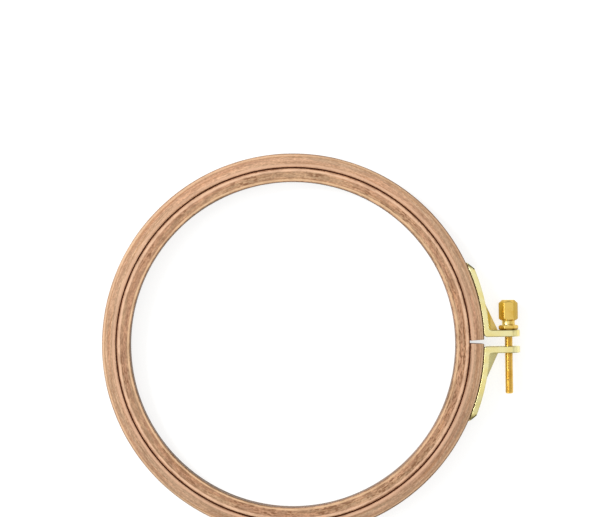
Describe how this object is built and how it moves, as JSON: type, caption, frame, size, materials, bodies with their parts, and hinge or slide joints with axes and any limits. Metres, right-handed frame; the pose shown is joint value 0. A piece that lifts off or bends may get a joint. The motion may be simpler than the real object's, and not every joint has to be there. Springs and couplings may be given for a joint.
{
  "type": "embroidery hoop",
  "caption": "Round beech embroidery hoop: a closed inner ring inside a split outer ring, which a brass thumb screw draws together between metal brackets.",
  "frame": {"origin": "on the axis of both rings, at mid-height", "axes": "+Z along the rings' axis, with the hoop lying flat, and +X towards the split, the brackets and the thumb screw. +Y runs along the screw towards its head."},
  "size_m": [0.1544, 0.141, 0.008],
  "materials": {
    "beech_inner": "planed beech, waxed",
    "beech_outer": "planed beech, waxed",
    "plated_bracket": "pale brass plating, bright",
    "plated_pin": "pale brass plating, bright",
    "screw_brass": "turned brass, bright"
  },
  "bodies": {
    "fixed_side": {"outer_ring_fixed_side": "beech_outer", "plain_bracket": "plated_bracket", "plain_bracket_pins": "plated_pin"},
    "opening_side": {"outer_ring_opening_side": "beech_outer", "threaded_bracket": "plated_bracket", "threaded_bracket_pins": "plated_pin"},
    "inner_ring": {"inner_ring": "beech_inner"},
    "thumb_screw": {"thumb_screw": "screw_brass"}
  },
  "joints": [
    {"name": "ring_opening", "type": "hinge", "parent": "fixed_side", "child": "opening_side", "pos_m": [-0.07005, -0.008, 0], "axis": [0, 0, -1], "range_deg": [0, 3.83]},
    {"name": "screw_turn", "type": "hinge", "parent": "fixed_side", "child": "thumb_screw", "pos_m": [0.0797, 0, 0], "axis": [0, 1, 0], "range_deg": [0, 7200]},
    {"name": "inner_ring_lift", "type": "slide", "parent": "fixed_side", "child": "inner_ring", "axis": [0, 0, 1], "range_m": [0, 0.02]}
  ],
  "couplings": [
    {"joint": "screw_turn", "follows": "ring_opening", "ratio": 1882.3}
  ]
}
